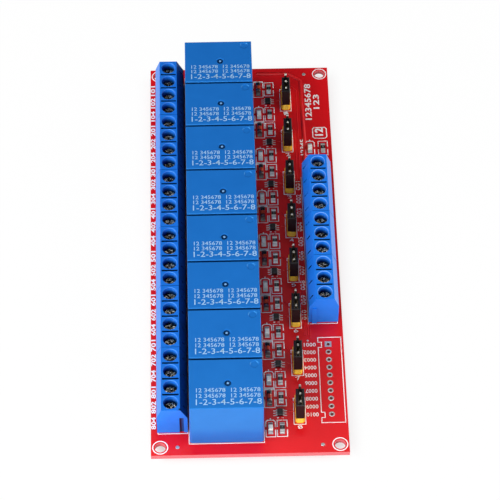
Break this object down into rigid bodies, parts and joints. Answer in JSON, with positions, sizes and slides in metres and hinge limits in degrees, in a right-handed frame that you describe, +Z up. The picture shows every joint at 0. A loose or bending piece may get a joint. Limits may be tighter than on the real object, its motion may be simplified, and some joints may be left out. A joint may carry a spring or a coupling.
{
  "type": "relay module board",
  "caption": "Flat circuit board with a row of box-shaped power relays between two rows of screw terminals, with a jumper header and status lamp for each relay.",
  "frame": {"origin": "centre of the four fixing holes, on the underside of the board", "axes": "+X across the board from the relay-output terminals to the input terminals, +Y along the board from channel 8 to channel 1, +Z up out of the component side"},
  "size_m": [0.0532, 0.136, 0.0199],
  "materials": {
    "solder_mask": "satin",
    "relay_case": "satin",
    "terminal_plastic": "satin",
    "screw_steel": "satin",
    "clamp_brass": "satin",
    "leaf_bronze": "satin",
    "tinned_pin": "satin",
    "header_yellow": "satin",
    "header_pin": "polished",
    "cap_black": "satin",
    "chip_black": "matte",
    "diode_glass": "gloss",
    "lamp_base": "matte",
    "lamp_lens": "satin",
    "solder": "satin"
  },
  "bodies": {
    "root": {"board": "solder_mask", "relay_1": "relay_case", "relay_2": "relay_case", "relay_3": "relay_case", "relay_4": "relay_case", "relay_5": "relay_case", "relay_6": "relay_case", "relay_7": "relay_case", "relay_8": "relay_case", "output_terminal_1": "terminal_plastic", "output_terminal_2": "terminal_plastic", "output_terminal_3": "terminal_plastic", "output_terminal_4": "terminal_plastic", "output_terminal_5": "terminal_plastic", "output_terminal_6": "terminal_plastic", "input_terminal_1": "terminal_plastic", "input_terminal_2": "terminal_plastic", "input_terminal_3": "terminal_plastic", "output_screws": "screw_steel", "input_screws": "screw_steel", "output_clamps": "clamp_brass", "input_clamps": "clamp_brass", "output_leaves": "leaf_bronze", "input_leaves": "leaf_bronze", "output_pins": "tinned_pin", "input_pins": "tinned_pin", "relay_pins": "tinned_pin", "jumper_base_1": "header_yellow", "jumper_base_2": "header_yellow", "jumper_base_3": "header_yellow", "jumper_base_4": "header_yellow", "jumper_base_5": "header_yellow", "jumper_base_6": "header_yellow", "jumper_base_7": "header_yellow", "jumper_base_8": "header_yellow", "jumper_pins": "header_pin", "jumper_cap_1": "cap_black", "jumper_cap_2": "cap_black", "jumper_cap_3": "cap_black", "jumper_cap_4": "cap_black", "jumper_cap_5": "cap_black", "jumper_cap_6": "cap_black", "jumper_cap_7": "cap_black", "jumper_cap_8": "cap_black", "jumper_springs": "leaf_bronze", "transistors": "chip_black", "transistor_leads": "tinned_pin", "diode_bodies": "diode_glass", "diode_caps": "tinned_pin", "resistor_bodies": "chip_black", "resistor_caps": "tinned_pin", "led_bases": "lamp_base", "led_lenses": "lamp_lens", "surface_solder": "solder", "solder_joints": "solder"}
  },
  "joints": []
}
